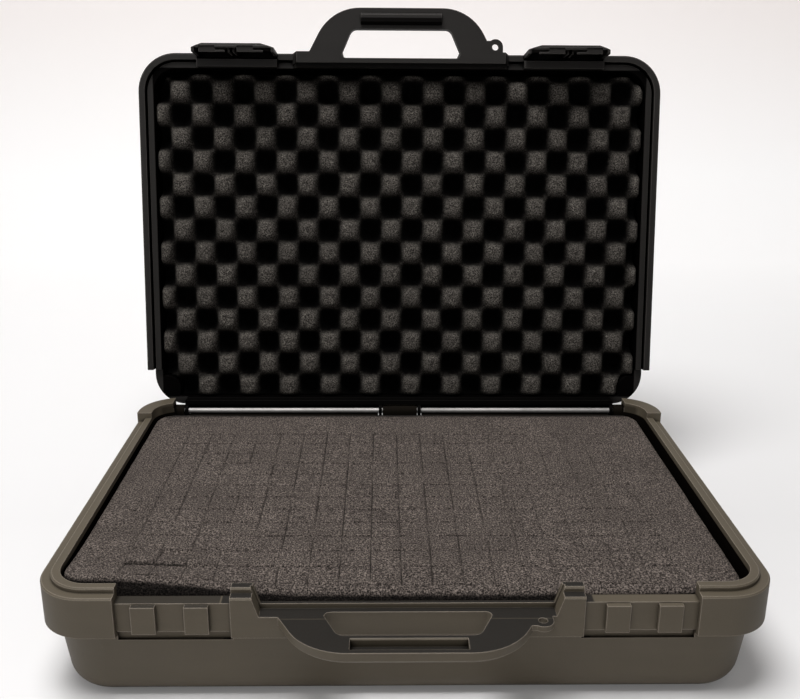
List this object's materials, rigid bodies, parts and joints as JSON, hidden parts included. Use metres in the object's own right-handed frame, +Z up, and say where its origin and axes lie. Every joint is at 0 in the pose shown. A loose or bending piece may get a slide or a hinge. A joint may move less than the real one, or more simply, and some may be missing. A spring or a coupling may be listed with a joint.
{
  "type": "laptop hard case",
  "caption": "Rigid moulded carrying case with a hinged lid, swing latches, a two-part carrying handle and foam in both halves.",
  "frame": {"origin": "middle of the underside of the base", "axes": "+X along the case's width, to the right as seen from the handle's side; +Y to the hinge at the back; +Z up"},
  "size_m": [0.5, 0.4933, 0.4606],
  "materials": {
    "base_plastic": "fine matte grain, dark warm grey",
    "lid_plastic": "fine matte grain, near black",
    "steel": "plain drawn rod",
    "foam": "open-cell charcoal foam"
  },
  "bodies": {
    "base": {"base_shell": "base_plastic", "hinge_rod": "steel", "foam_pluck_block": "foam", "foam_base_pad": "foam"},
    "lid": {"lid_shell": "lid_plastic", "latch_pin_left": "steel", "latch_pin_right": "steel", "foam_lid": "foam"},
    "left_latch": {"latch_left": "lid_plastic"},
    "right_latch": {"latch_right": "lid_plastic"}
  },
  "joints": [
    {"name": "lid_hinge", "type": "hinge", "parent": "base", "child": "lid", "pos_m": [0, 0.1712, 0.081], "axis": [1, 0, 0], "range_deg": [0, 100]},
    {"name": "left_latch_hinge", "type": "hinge", "parent": "lid", "child": "left_latch", "pos_m": [-0.1554, 0.24234, 0.41533], "axis": [1, 0, 0], "range_deg": [-90, 0]},
    {"name": "right_latch_hinge", "type": "hinge", "parent": "lid", "child": "right_latch", "pos_m": [0.1554, 0.24234, 0.41533], "axis": [1, 0, 0], "range_deg": [-90, 0]}
  ]
}
